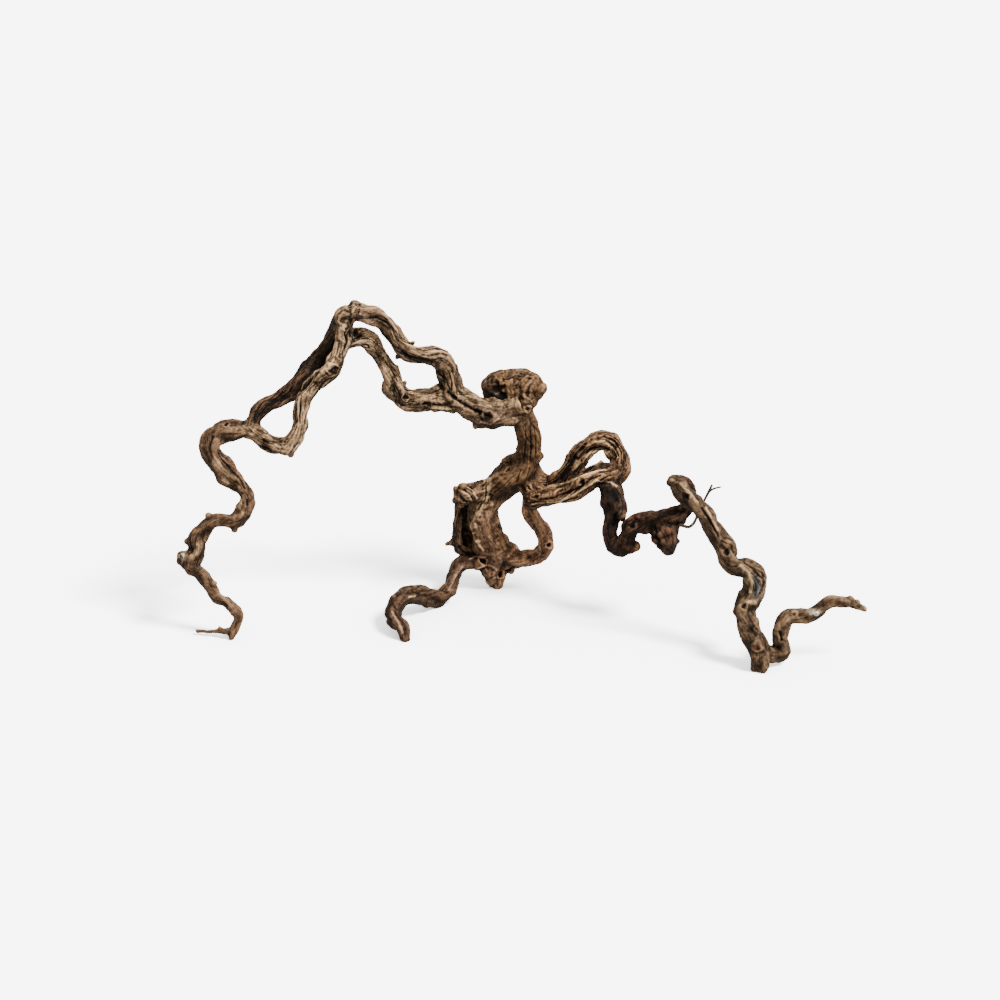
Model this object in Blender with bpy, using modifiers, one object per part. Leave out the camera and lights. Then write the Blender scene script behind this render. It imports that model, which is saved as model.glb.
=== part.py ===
"""A weathered, twisted piece of grapevine wood that stands free on five points.

Every limb follows a line of stations. A station is what the eye sees from in front
and a little above: how far across and down it lies, how far away it is, and how
thick the wood is there. Each limb is a curve with a lobed, twisting section. The
limbs and their knobs grow together into one skin, which is cut flat where it
stands on the ground and sawn apart at its main forks.
"""
import math

import bmesh
import bpy
from mathutils import Vector

MM = 0.001

# Where the eye is, and how it sights the piece. One step of the sighting grid is
# one millimetre at the distance of the eye's aim.
EYE_DISTANCE = 3.0
EYE_TILT = math.radians(20)
AIM = Vector((-0.0182, -0.0416, 0.1537))
GRID_MIDDLE = 500
GRID_STEP = 1.0 * MM

# The skin and the cuts
SKIN_GRAIN = 1.8 * MM
SAW_CUT = 0.3 * MM
TRIANGLES = 7550
LUMP_SIZE = 13 * MM
LUMP_HEIGHT = 4.5 * MM
LOBES = 3
LOBE_DEPTH = 0.17
FLAT_DEPTH = 0.07
SECTION_POINTS = 24
TWIST_PER_STATION = math.radians(34)
TENDRIL_RADIUS = 1.1 * MM

# Stations of each limb: across, down, away, radius, all in millimetres of the grid
TRUNK = [
    (519, 405, 121, 15), (522, 418, 123, 12), (527, 432, 127, 11.5), (530, 446, 130, 11),
    (528, 460, 133, 13.5), (515, 474, 137, 17.5), (497, 486, 140, 16), (488, 499, 141, 15),
    (483, 514, 141, 14), (484, 530, 143, 14.5), (489, 543, 146, 16), (493, 555, 148, 14),
    (494, 566, 150, 12), (495, 575, 150, 10), (496, 582, 151, 8), (496, 588, 152, 6.5)]
THICK_ARM = [
    (519, 410, 120, 14), (505, 413, 116, 15), (490, 414, 112, 15), (478, 409, 109, 13.5),
    (465, 402, 107, 12.5), (453, 396, 105, 13)]
TRUNK_BACK = [
    (482, 490, 141, 8), (469, 497, 145, 6), (461, 506, 148, 5.5), (459, 518, 150, 6),
    (459, 531, 151, 6.5), (460, 543, 151, 8.5), (470, 551, 150, 8), (484, 557, 149, 9)]
STUB = [(486, 488, 136, 11), (475, 493, 126, 10), (463, 495, 116, 10)]
UPPER_STRAND = [
    (453, 397, 105, 11), (451, 383, 104, 10), (448, 371, 103, 10.5), (443, 361, 100, 10.5),
    (435, 356, 96, 10), (424, 356, 91, 9), (413, 354, 87, 8.5), (403, 349, 87, 8.5),
    (397, 341, 89, 8.5), (391, 331, 88, 9), (383, 321, 83, 8.8), (374, 315, 76, 9.3),
    (362, 314, 70, 8.5), (350, 312, 67, 10.5)]
LOWER_STRAND = [
    (455, 400, 106, 13), (440, 399, 106, 12), (428, 400, 108, 10.5), (415, 400, 109, 11),
    (404, 398, 107, 11), (397, 393, 103, 11.5), (393, 385, 99, 10.5), (391, 376, 98, 8.5),
    (386, 366, 99, 8.5), (380, 356, 100, 8.5), (373, 346, 97, 8.5), (365, 339, 90, 9.5),
    (355, 339, 81, 9.5), (345, 341, 70, 9)]
FRONT_STRAND = [
    (352, 311, 67, 9.5), (346, 317, 66, 10), (343, 330, 65, 9.5), (342, 342, 63, 8),
    (340, 352, 60, 8), (336, 362, 56, 9.5), (331, 370, 52, 9), (321, 378, 50, 8),
    (314, 386, 51, 8), (307, 394, 53, 8), (302, 403, 53, 9), (301, 413, 50, 8),
    (301, 422, 46, 7.5), (298, 431, 43, 8), (293, 440, 42, 8.5), (287, 446, 43, 9.5),
    (277, 446, 45, 9), (268, 442, 47, 8.5), (260, 436, 47, 7.5), (250, 430, 46, 8.5)]
BACK_STRAND = [
    (343, 320, 68, 9), (338, 332, 74, 9), (328, 347, 81, 9.5), (318, 359, 84, 8.5),
    (307, 371, 82, 9), (298, 382, 77, 9), (289, 393, 72, 8.5), (276, 402, 68, 7.5),
    (263, 408, 62, 8), (256, 416, 54, 7.5), (249, 428, 47, 8)]
LEFT_LEG = [
    (256, 432, 47, 8), (245, 430, 46, 9), (232, 431, 47, 11), (220, 432, 46, 11),
    (211, 438, 42, 10), (210, 446, 38, 10), (213, 456, 35, 10), (220, 466, 34, 11.5),
    (228, 475, 36, 10.5), (238, 483, 38, 8.5), (244, 491, 38, 7), (247, 500, 35, 8),
    (246, 508, 31, 8.5), (240, 516, 28, 8), (232, 520, 26, 7.5), (222, 520, 27, 6.5),
    (212, 523, 29, 7), (203, 530, 30, 7.5), (197, 539, 28, 9), (198, 549, 25, 9),
    (195, 557, 22, 8), (192, 566, 20, 8.5), (199, 572, 20, 6), (206, 580, 20, 6.5),
    (211, 589, 18, 6.5), (217, 597, 15, 6.5), (226, 601, 12, 5.5), (233, 609, 11, 5),
    (238, 617, 11, 4.8), (237, 624, 10, 4.6), (233, 632, 8, 4.3), (230, 641, 6, 2.6)]
LEFT_TWIG = [
    (234, 630, 9, 4), (228, 631, 9, 3.2), (222, 631.5, 11, 2.8), (215, 631, 14, 2.6),
    (209, 631.5, 16, 2.8), (202, 631, 18, 2.6), (196, 631, 19, 2.4)]
FRONT_LEG = [
    (482, 561, 149, 8), (470, 562, 144, 7.5), (460, 566, 137, 8), (455, 573, 128, 6.5),
    (452, 582, 117, 6.5), (448, 590, 107, 7.5), (440, 598, 97, 8.5), (430, 598, 87, 8.5),
    (418, 596, 74, 9.5), (407, 597, 60, 9.5), (398, 603, 47, 8.5), (394, 612, 34, 8.5),
    (396, 621, 22, 8), (403, 629, 11, 8), (405, 638, 4, 5.5), (404, 643, 1, 3.5)]
RING_LIMB = [
    (524, 484, 130, 9), (531, 492, 119, 7.5), (528, 502, 112, 8), (530, 511, 111, 7.5),
    (535, 520, 114, 7), (541, 530, 119, 7.5), (544, 540, 122, 8), (543, 549, 127, 8.5),
    (536, 556, 133, 8), (526, 559, 138, 9), (514, 559, 143, 9.5), (500, 556, 147, 10)]
LOOP_BACK = [
    (534, 477, 133, 8), (549, 483, 129, 6), (558, 480, 125, 8), (567, 472, 122, 9.5),
    (575, 462, 119, 11.3), (583, 451, 114, 10.8), (591, 444, 110, 9.5), (600, 441, 108, 9.5),
    (609, 443, 107, 10), (616, 450, 104, 11), (620, 460, 98, 10), (618, 470, 91, 10)]
LOOP_FRONT = [
    (619, 469, 92, 9), (607, 473, 83, 9.5), (597, 475, 78, 10.5), (588, 480, 76, 11),
    (578, 487, 79, 11), (567, 493, 85, 10.5), (555, 495, 90, 9.5), (543, 497, 97, 9),
    (533, 499, 105, 9), (530, 492, 119, 8)]
HANGING_LIMB = [
    (612, 470, 88, 10), (609, 485, 84, 12), (614, 497, 79, 12.5), (615, 508, 74, 12),
    (611, 519, 71, 8), (610, 531, 69, 7), (613, 542, 65, 9), (621, 546, 58, 11),
    (626, 537, 52, 9), (631, 528, 50, 9.5), (641, 524, 50, 10), (652, 521, 49, 10.5),
    (663, 519, 47, 10), (675, 516, 45, 9.5), (683, 512, 43, 8.5), (688, 504, 39, 7.5),
    (690, 495, 31, 6.5), (687, 487, 20, 6.5), (681, 483, 9, 7.5), (675, 484, 1, 8)]
HANGING_KNOB = [
    (662, 519, 47, 9), (666, 529, 44, 13), (667, 540, 42, 13), (668, 548, 42, 9.5),
    (669, 555, 42, 3.5)]
RIGHT_LEG = [
    (677, 481, 2, 7), (682, 490, -6, 9.5), (690, 499, -11, 9), (699, 508, -15, 9),
    (707, 516, -17, 9.5), (713, 527, -19, 8.5), (719, 539, -21, 9), (726, 550, -25, 10),
    (729, 561, -31, 9.5), (737, 567, -36, 9.5), (746, 568, -39, 9.5), (753, 576, -41, 11),
    (754, 588, -42, 11), (751, 599, -45, 12.5), (745, 608, -50, 12), (745, 617, -56, 11),
    (750, 628, -62, 11), (755, 639, -67, 11), (758, 651, -71, 9.5), (759, 661, -74, 9.5),
    (759, 671, -74, 7.5)]
RIGHT_TIP = [
    (758, 655, -71, 8), (766, 654, -67, 7.5), (775, 655, -63, 7.5), (783, 652, -61, 7.5),
    (782, 643, -62, 8), (780, 633, -65, 8), (782, 624, -65, 8), (788, 618, -62, 8),
    (797, 617, -58, 8), (807, 616, -55, 8), (816, 612, -54, 7), (824, 606, -55, 6.5),
    (833, 601, -57, 6), (843, 602, -56, 5.5), (851, 604, -53, 4.8), (859, 607, -50, 3.8),
    (867, 609, -48, 3.3)]
TENDRIL = [
    (674, 522, 44), (680, 525, 37), (684, 526, 33), (688, 527, 30), (692, 525, 27),
    (695, 521, 24), (697, 516, 21), (700, 509, 18), (704, 501, 16), (708, 493, 15),
    (712, 485, 14)]
TENDRIL_FORK = [(706, 497, 15.5), (710, 491, 13), (716, 488, 11), (721, 487, 10)]

LIMBS = {
    "trunk": TRUNK, "thick_arm": THICK_ARM, "trunk_back": TRUNK_BACK, "stub": STUB,
    "upper_strand": UPPER_STRAND, "lower_strand": LOWER_STRAND,
    "front_strand": FRONT_STRAND, "back_strand": BACK_STRAND, "left_leg": LEFT_LEG,
    "left_twig": LEFT_TWIG, "front_leg": FRONT_LEG, "ring_limb": RING_LIMB,
    "loop_back": LOOP_BACK, "loop_front": LOOP_FRONT, "hanging_limb": HANGING_LIMB,
    "hanging_knob": HANGING_KNOB, "right_leg": RIGHT_LEG, "right_tip": RIGHT_TIP}

# Lumps with their own half width, depth and height: the burl on the trunk's head, and
# swellings where limbs meet
LUMPS = [
    ((513, 391, 134), (25, 17, 11)), ((527, 385, 138), (17, 18, 13)),
    ((503, 382, 140), (19, 17, 12)), ((540, 388, 131), (7, 9, 6.5)),
    ((490, 386, 134), (9, 11, 10)), ((514, 377, 143), (21, 13, 8.5)),
    ((532, 380, 141), (9, 12, 8)), ((527, 399, 128), (11, 12, 12)),
    ((489, 393, 137), (8, 7, 8)), ((537, 393, 130), (7, 8, 7)),
    ((531, 476, 132), (13, 12, 14)), ((467, 527, 154), (7, 5, 18)),
    ((508, 550, 147), (12, 10, 9)), ((504, 553, 141), (13, 9, 8)),
    ((537, 489, 118), (7.5, 10, 6)), ((320, 366, 81), (7, 6, 7)),
    ((621, 514, 67), (6, 9, 7)), ((680, 519, 44), (7, 7, 8))]

# Knots, spurs and buds that stand out of the limbs: across, down, away, radius
KNOBS = [
    (541, 456, 130, 2.5), (505, 461, 136, 4), (497, 521, 138, 3), (501, 537, 143, 4),
    (456, 491, 116, 4), (457, 500, 117, 4), (447, 544, 151, 2.5), (452, 543, 151, 4),
    (458, 550, 151, 5), (511, 569, 150, 4.5), (478, 563, 144, 8), (488, 570, 143, 8),
    (475, 425, 107, 4), (436, 407, 102, 6),
    (397, 357, 88, 3), (413, 343, 86, 3), (405, 383, 104, 3.5), (396, 367, 100, 3.5),
    (385, 383, 97, 4), (291, 454, 43, 4.5),
    (182, 557, 24, 6), (181, 561, 24, 5.5), (187, 556, 23, 6.5), (234, 529, 26, 3.5),
    (208, 515, 28, 3), (187, 541, 28, 4), (215, 583, 16, 3.5), (220, 628, 12, 1.7),
    (209, 633, 15, 1.7),
    (389, 622, 22, 4), (393, 598, 48, 4),
    (559, 494, 78, 5), (629, 471, 90, 2.5), (624, 466, 93, 5),
    (635, 546, 53, 6), (629, 547, 55, 8), (664, 530, 40, 9), (640, 516, 48, 4),
    (672, 482, 1, 6),
    (757, 647, -76, 6), (794, 614, -63, 5), (727, 544, -30, 5), (745, 604, -55, 6),
    (740, 611, -52, 8), (816, 613, -59, 4)]

# Saw cuts at the main forks: limb, the station that they pass through, and how far
# the blade reaches past the wood's middle, in radii of the limb
FORKS = [
    ("thick_arm", 2.5, 1.6), ("upper_strand", 1.8, 1.6), ("upper_strand", 11.9, 1.6),
    ("lower_strand", 1.6, 1.6), ("lower_strand", 11.3, 1.6), ("back_strand", 2.5, 1.6),
    ("back_strand", 9.0, 1.6), ("left_leg", 1.5, 1.6), ("left_twig", 1.8, 2.0),
    ("front_leg", 2.2, 1.7), ("ring_limb", 3.6, 1.7), ("ring_limb", 9.3, 1.6),
    ("loop_back", 1.4, 1.7), ("loop_back", 9.5, 1.6), ("loop_front", 2.8, 1.6),
    ("loop_front", 6.7, 1.6), ("hanging_limb", 14.5, 1.6), ("right_tip", 1.3, 2.1)]
TENDRIL_REACH = 2.0
TENDRIL_CUT = 1.4

# Every piece, by a station that lies inside it, with its colour and roughness
PIECES = {
    "trunk": (("trunk", 8), (0.23, 0.135, 0.085), 0.72),
    "thick_arm": (("thick_arm", 4), (0.30, 0.20, 0.125), 0.76),
    "arm_upper_strand": (("upper_strand", 6), (0.30, 0.20, 0.125), 0.78),
    "arm_lower_strand": (("lower_strand", 7), (0.27, 0.175, 0.11), 0.78),
    "arm_front_strand": (("front_strand", 8), (0.29, 0.195, 0.125), 0.78),
    "arm_back_strand": (("back_strand", 5), (0.12, 0.075, 0.05), 0.85),
    "left_leg": (("left_leg", 15), (0.25, 0.165, 0.11), 0.8),
    "left_twig": (("left_twig", 4), (0.26, 0.17, 0.12), 0.8),
    "front_leg": (("front_leg", 8), (0.21, 0.13, 0.09), 0.8),
    "ring_limb": (("ring_limb", 6), (0.22, 0.13, 0.09), 0.78),
    "loop_back_strand": (("loop_back", 6), (0.31, 0.21, 0.13), 0.78),
    "loop_front_strand": (("loop_front", 5), (0.28, 0.18, 0.11), 0.78),
    "hanging_limb": (("hanging_limb", 9), (0.17, 0.095, 0.07), 0.8),
    "right_leg": (("right_leg", 9), (0.24, 0.17, 0.125), 0.82),
    "right_tip": (("right_tip", 8), (0.24, 0.165, 0.12), 0.82),
    "tendril": (None, (0.50, 0.38, 0.22), 0.6)}


def clear_scene():
    """Empty the scene that the piece is made in."""
    for old in list(bpy.data.objects):
        bpy.data.objects.remove(old, do_unlink=True)


def collection(name):
    """Give a new collection that is linked to the scene."""
    made = bpy.data.collections.new(name)
    bpy.context.scene.collection.children.link(made)
    return made


def sighted(across, down, away):
    """Turn a sighted place into its point, and give what one grid step spans there."""
    forward = Vector((0, math.cos(EYE_TILT), -math.sin(EYE_TILT)))
    upward = Vector((0, math.sin(EYE_TILT), math.cos(EYE_TILT)))
    sideways = Vector((1, 0, 0))
    eye = AIM - forward * EYE_DISTANCE
    slope = GRID_STEP / EYE_DISTANCE
    ray = forward + sideways * (across - GRID_MIDDLE) * slope
    ray -= upward * (down - GRID_MIDDLE) * slope
    reach = (away * MM + AIM.y - eye.y) / ray.y
    return eye + ray * reach, GRID_STEP * reach / EYE_DISTANCE


def along(stations, place):
    """Give the point, direction and radius at a place between two stations."""
    first = int(place)
    share = place - first
    (point_a, step_a), (point_b, step_b) = (
        sighted(*stations[first][:3]), sighted(*stations[first + 1][:3]))
    radius_a = stations[first][3] * step_a
    radius_b = stations[first + 1][3] * step_b
    point = point_a.lerp(point_b, share)
    return point, (point_b - point_a).normalized(), radius_a + (radius_b - radius_a) * share


def lobed_section():
    """Draw the closed outline, about one unit in radius, that every limb is swept with."""
    outline = bpy.data.curves.new("lobed_section", "CURVE")
    spline = outline.splines.new("POLY")
    spline.points.add(SECTION_POINTS - 1)
    spline.use_cyclic_u = True
    for count, point in enumerate(spline.points):
        turn = math.tau * count / SECTION_POINTS
        reach = 1 + LOBE_DEPTH * math.cos(LOBES * turn) + FLAT_DEPTH * math.cos(2 * turn + 1)
        point.co = (reach * math.cos(turn), reach * math.sin(turn), 0, 1)
    return bpy.data.objects.new("lobed_section", outline)


def swept(points, radii, section=None, twist=0.0):
    """Sweep a section, or a round of its own, along points and give the closed mesh."""
    curve = bpy.data.curves.new("line", "CURVE")
    curve.dimensions = "3D"
    curve.use_fill_caps = True
    if section:
        curve.resolution_u = 5
        curve.bevel_mode = "OBJECT"
        curve.bevel_object = section
    else:
        curve.resolution_u = 2
        curve.bevel_depth = 1.0
        curve.bevel_resolution = 1
    spline = curve.splines.new("BEZIER")
    spline.bezier_points.add(len(points) - 1)
    for count, (knot, point) in enumerate(zip(spline.bezier_points, points)):
        knot.co = point
        knot.radius = radii[count]
        knot.tilt = twist * count
        knot.handle_left_type = knot.handle_right_type = "AUTO"
    line = bpy.data.objects.new("line", curve)
    bpy.context.scene.collection.objects.link(line)
    mesh = bpy.data.meshes.new_from_object(
        line.evaluated_get(bpy.context.evaluated_depsgraph_get()))
    bpy.data.objects.remove(line)
    shape = bmesh.new()
    shape.from_mesh(mesh)
    bmesh.ops.remove_doubles(shape, verts=shape.verts, dist=0.00001)
    bmesh.ops.recalc_face_normals(shape, faces=shape.faces)
    shape.to_mesh(mesh)
    shape.free()
    return mesh


def limb_mesh(stations, section):
    """Sweep one limb through its stations."""
    sights = [sighted(*station[:3]) for station in stations]
    points = [point for point, step in sights]
    radii = [station[3] * step for station, (point, step) in zip(stations, sights)]
    return swept(points, radii, section, TWIST_PER_STATION)


def add_lump(shape, place, halves):
    """Add a round lump with its own half width, depth and height to a growing shape."""
    point, step = sighted(*place)
    lump = bmesh.ops.create_icosphere(shape, subdivisions=3, radius=1.0)["verts"]
    bmesh.ops.scale(shape, verts=lump, vec=[half * step for half in halves])
    bmesh.ops.translate(shape, verts=lump, vec=point)


def grown_skin(parts):
    """Grow all limbs, lumps and knobs together into one skin of few faces."""
    section = lobed_section()
    parts.objects.link(section)
    shape = bmesh.new()
    for stations in LIMBS.values():
        shape.from_mesh(limb_mesh(stations, section))
    for place, halves in LUMPS:
        add_lump(shape, place, halves)
    for across, down, away, radius in KNOBS:
        add_lump(shape, (across, down, away), (radius, radius, radius))
    mesh = bpy.data.meshes.new("skin")
    shape.to_mesh(mesh)
    shape.free()
    bpy.data.objects.remove(section)

    skin = bpy.data.objects.new("skin", mesh)
    parts.objects.link(skin)
    grow = skin.modifiers.new("grow together", "REMESH")
    grow.mode = "VOXEL"
    grow.voxel_size = SKIN_GRAIN
    soften = skin.modifiers.new("soften", "SMOOTH")
    soften.factor = 0.5
    soften.iterations = 2
    swell = skin.modifiers.new("lumps", "DISPLACE")
    swell.texture = bpy.data.textures.new("lumps", "CLOUDS")
    swell.texture.noise_scale = LUMP_SIZE
    swell.texture_coords = "LOCAL"
    swell.strength = LUMP_HEIGHT
    swell.mid_level = 0.5
    settle(skin)
    thin = skin.modifiers.new("fewer faces", "DECIMATE")
    thin.ratio = TRIANGLES / sum(len(face.vertices) - 2 for face in skin.data.polygons)
    thin.use_collapse_triangulate = True
    settle(skin)
    return skin


def settle(thing):
    """Turn an object's modifiers into its mesh."""
    graph = bpy.context.evaluated_depsgraph_get()
    mesh = bpy.data.meshes.new_from_object(thing.evaluated_get(graph))
    thing.modifiers.clear()
    thing.data = mesh


def stand_flat(skin):
    """Cut the skin off at the ground, which leaves a small flat on each foot."""
    shape = bmesh.new()
    shape.from_mesh(skin.data)
    everything = shape.verts[:] + shape.edges[:] + shape.faces[:]
    cut = bmesh.ops.bisect_plane(
        shape, geom=everything, plane_co=(0, 0, 0), plane_no=(0, 0, -1), clear_outer=True)
    rims = [part for part in cut["geom_cut"] if isinstance(part, bmesh.types.BMEdge)]
    bmesh.ops.holes_fill(shape, edges=rims)
    shape.to_mesh(skin.data)
    shape.free()


def tendril_mesh(stations):
    """Sweep one thin strand of the tendril, which thins out towards its end."""
    points = [sighted(*station)[0] for station in stations]
    radii = [TENDRIL_RADIUS * (1 - 0.35 * count / len(points)) for count in range(len(points))]
    return swept(points, radii)


def join_on(skin, mesh, cutters):
    """Join a closed mesh on to the skin."""
    extra = bpy.data.objects.new("extra", mesh)
    cutters.objects.link(extra)
    joined = skin.modifiers.new("join", "BOOLEAN")
    joined.operation = "UNION"
    joined.object = extra
    settle(skin)
    bpy.data.objects.remove(extra)


def saw_blade(cutters, point, direction, radius):
    """Add a thin disc that parts the wood squarely across its line."""
    blade = bmesh.new()
    bmesh.ops.create_cone(
        blade, cap_ends=True, segments=24, radius1=radius, radius2=radius, depth=SAW_CUT)
    mesh = bpy.data.meshes.new("saw_blade")
    blade.to_mesh(mesh)
    blade.free()
    disc = bpy.data.objects.new("saw_blade", mesh)
    disc.rotation_mode = "QUATERNION"
    disc.rotation_quaternion = direction.to_track_quat("Z", "Y")
    disc.location = point
    disc.hide_render = True
    disc.display_type = "WIRE"
    cutters.objects.link(disc)


def saw_apart(skin, cutters):
    """Cut the skin through at every main fork."""
    for limb, place, reach in FORKS:
        point, direction, radius = along(LIMBS[limb], place)
        saw_blade(cutters, point, direction, radius * reach)
    tendril = [station + (TENDRIL_RADIUS / MM,) for station in TENDRIL]
    point, direction, radius = along(tendril, TENDRIL_CUT)
    saw_blade(cutters, point, direction, radius * TENDRIL_REACH)
    sawn = skin.modifiers.new("saw apart", "BOOLEAN")
    sawn.operation = "DIFFERENCE"
    sawn.operand_type = "COLLECTION"
    sawn.collection = cutters
    bpy.context.view_layer.update()
    settle(skin)


def loose_parts(skin):
    """Split a mesh into its separate closed bodies."""
    bpy.ops.object.select_all(action="DESELECT")
    skin.select_set(True)
    bpy.context.view_layer.objects.active = skin
    bpy.ops.mesh.separate(type="LOOSE")
    return list(bpy.context.selected_objects)


def finish(name, rgb, roughness):
    """Give the material of one piece."""
    made = bpy.data.materials.new(name + "_wood")
    made.use_nodes = True
    shader = made.node_tree.nodes["Principled BSDF"]
    shader.inputs["Base Color"].default_value = (*rgb, 1)
    shader.inputs["Roughness"].default_value = roughness
    shader.inputs["Metallic"].default_value = 0
    return made


def name_pieces(bodies):
    """Name each body by the mark that lies nearest to its skin, and give it its finish."""
    marks = {}
    for name, (mark, rgb, roughness) in PIECES.items():
        sight = LIMBS[mark[0]][mark[1]][:3] if mark else TENDRIL[-1]
        marks[name] = sighted(*sight)[0]
    for name, mark in marks.items():
        body = min(bodies, key=lambda b: min((v.co - mark).length for v in b.data.vertices))
        if body.data.materials and body.data.materials[0]:
            print(name, "is still joined to", body.name)
            continue
        body.name = name
        body.data.name = name
        body.data.materials.clear()
        body.data.materials.append(finish(name, *PIECES[name][1:]))
        body.data.shade_smooth()
        body.data.set_sharp_from_angle(angle=math.radians(50))
    for body in bodies:
        if not body.data.materials:
            print("no name for", body.name, body.data.vertices[0].co)


clear_scene()
wood = collection("grapevine_wood")
blades = collection("saw_blades")
vine = grown_skin(wood)
stand_flat(vine)
join_on(vine, tendril_mesh(TENDRIL), blades)
join_on(vine, tendril_mesh(TENDRIL_FORK), blades)
saw_apart(vine, blades)
name_pieces(loose_parts(vine))
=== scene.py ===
"""The finished look of a weathered, twisted piece of grapevine wood on a pale floor."""

import math

import bmesh
import bpy
import numpy as np
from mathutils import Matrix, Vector


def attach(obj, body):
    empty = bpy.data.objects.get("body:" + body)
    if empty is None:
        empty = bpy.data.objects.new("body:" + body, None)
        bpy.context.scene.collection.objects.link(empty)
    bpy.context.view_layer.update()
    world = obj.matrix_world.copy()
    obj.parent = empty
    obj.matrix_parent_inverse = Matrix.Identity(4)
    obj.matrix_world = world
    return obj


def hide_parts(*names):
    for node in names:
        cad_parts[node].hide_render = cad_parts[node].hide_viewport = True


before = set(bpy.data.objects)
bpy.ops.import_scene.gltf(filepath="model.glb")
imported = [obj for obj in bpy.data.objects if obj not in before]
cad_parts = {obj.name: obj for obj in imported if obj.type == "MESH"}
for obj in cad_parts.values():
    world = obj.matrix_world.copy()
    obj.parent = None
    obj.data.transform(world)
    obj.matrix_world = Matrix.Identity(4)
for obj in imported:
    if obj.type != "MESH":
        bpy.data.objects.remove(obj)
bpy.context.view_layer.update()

# The trunk. A short stem of smooth brown wood that bends twice, with a thick arm that
# leaves its head to the left, a torn stub, and a dark strand that runs behind it. Every
# limb is a curve swept with one lobed section that twists, as vine wood does.
MM = 0.001
EYE_DISTANCE = 3.0
EYE_TILT = math.radians(20)
AIM = Vector((-0.0182, -0.0416, 0.1537))
GRID_MIDDLE = 500
GRID_STEP = 1.0 * MM
FORWARD = Vector((0, math.cos(EYE_TILT), -math.sin(EYE_TILT)))
UPWARD = Vector((0, math.sin(EYE_TILT), math.cos(EYE_TILT)))
SIDEWAYS = Vector((1, 0, 0))
EYE = AIM - FORWARD * EYE_DISTANCE
LOBES = 3
LOBE_DEPTH = 0.17
FLAT_DEPTH = 0.07
SECTION_POINTS = 24
TWIST_PER_STATION = math.radians(34)
CURVE_STEPS = 6
ROUND_STEPS = 3
BALL_STEPS = 4
WELD = 0.01 * MM
WALNUT = (0.102, 0.057, 0.029)
STRAW = (0.124, 0.078, 0.047)
BROWN = (0.093, 0.054, 0.032)


def sight_line(across, down):
    """Give the direction in which a place of the grid is seen."""
    slope = GRID_STEP / EYE_DISTANCE
    ray = FORWARD + SIDEWAYS * (across - GRID_MIDDLE) * slope
    return ray - UPWARD * (down - GRID_MIDDLE) * slope


def sighted(across, down, away):
    """Turn a sighted place into its point, and give what one grid step spans there."""
    ray = sight_line(across, down)
    reach = (away * MM + AIM.y - EYE.y) / ray.y
    return EYE + ray * reach, GRID_STEP * reach / EYE_DISTANCE


def lobed_section():
    """Draw the closed outline, about one unit in radius, that limbs are swept with."""
    outline = bpy.data.curves.new("lobed_section", "CURVE")
    spline = outline.splines.new("POLY")
    spline.points.add(SECTION_POINTS - 1)
    spline.use_cyclic_u = True
    for count, point in enumerate(spline.points):
        turn = math.tau * count / SECTION_POINTS
        reach = 1 + LOBE_DEPTH * math.cos(LOBES * turn) + FLAT_DEPTH * math.cos(2 * turn + 1)
        point.co = (reach * math.cos(turn), reach * math.sin(turn), 0, 1)
    return bpy.data.objects.new("lobed_section", outline)


def swept(stations, bevel=None, twist=0.0, thickness=0.0):
    """Sweep a section, or a round of some thickness, through stations as a closed mesh."""
    bpy.ops.curve.primitive_bezier_curve_add()
    line = bpy.context.object
    curve = line.data
    curve.splines.clear()
    curve.dimensions = "3D"
    curve.use_fill_caps = True
    curve.resolution_u = CURVE_STEPS
    if bevel:
        curve.bevel_mode = "OBJECT"
        curve.bevel_object = bevel
    else:
        curve.bevel_depth = thickness
        curve.bevel_resolution = ROUND_STEPS
    spline = curve.splines.new("BEZIER")
    spline.bezier_points.add(len(stations) - 1)
    for count, (knot, station) in enumerate(zip(spline.bezier_points, stations)):
        point, step = sighted(*station[:3])
        knot.co = point
        knot.radius = station[3] * (step if bevel else 1)
        knot.tilt = twist * count
        knot.handle_left_type = knot.handle_right_type = "AUTO"
    bpy.ops.object.convert(target="MESH")
    bpy.ops.object.mode_set(mode="EDIT")
    bpy.ops.mesh.select_all(action="SELECT")
    bpy.ops.mesh.remove_doubles(threshold=WELD)
    bpy.ops.mesh.normals_make_consistent(inside=False)
    bpy.ops.object.mode_set(mode="OBJECT")
    return bpy.context.object


section = lobed_section()
limbs = {}
growth = []


def grow(name, tone, furrows, stations):
    """Sweep a limb, and keep its line, tone and depth of furrows for its bark."""
    growth.append(swept(stations, section, TWIST_PER_STATION))
    sights = [sighted(*station[:3]) for station in stations]
    points = np.array([point for point, step in sights])
    radii = np.array([station[3] * step for station, (point, step) in zip(stations, sights)])
    limbs[name] = (points, radii, tone, furrows)


def lump(place, halves):
    """Add a round lump with its own half width, depth and height."""
    point, step = sighted(*place)
    bpy.ops.mesh.primitive_ico_sphere_add(subdivisions=BALL_STEPS, radius=1, location=point)
    sphere = bpy.context.object
    sphere.scale = [half * step for half in halves]
    bpy.ops.object.transform_apply(location=True, rotation=True, scale=True)
    growth.append(sphere)


def knobs(places):
    """Add the small round knobs of a limb: across, down, away and radius of each."""
    for across, down, away, radius in places:
        lump((across, down, away), (radius, radius, radius))


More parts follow.
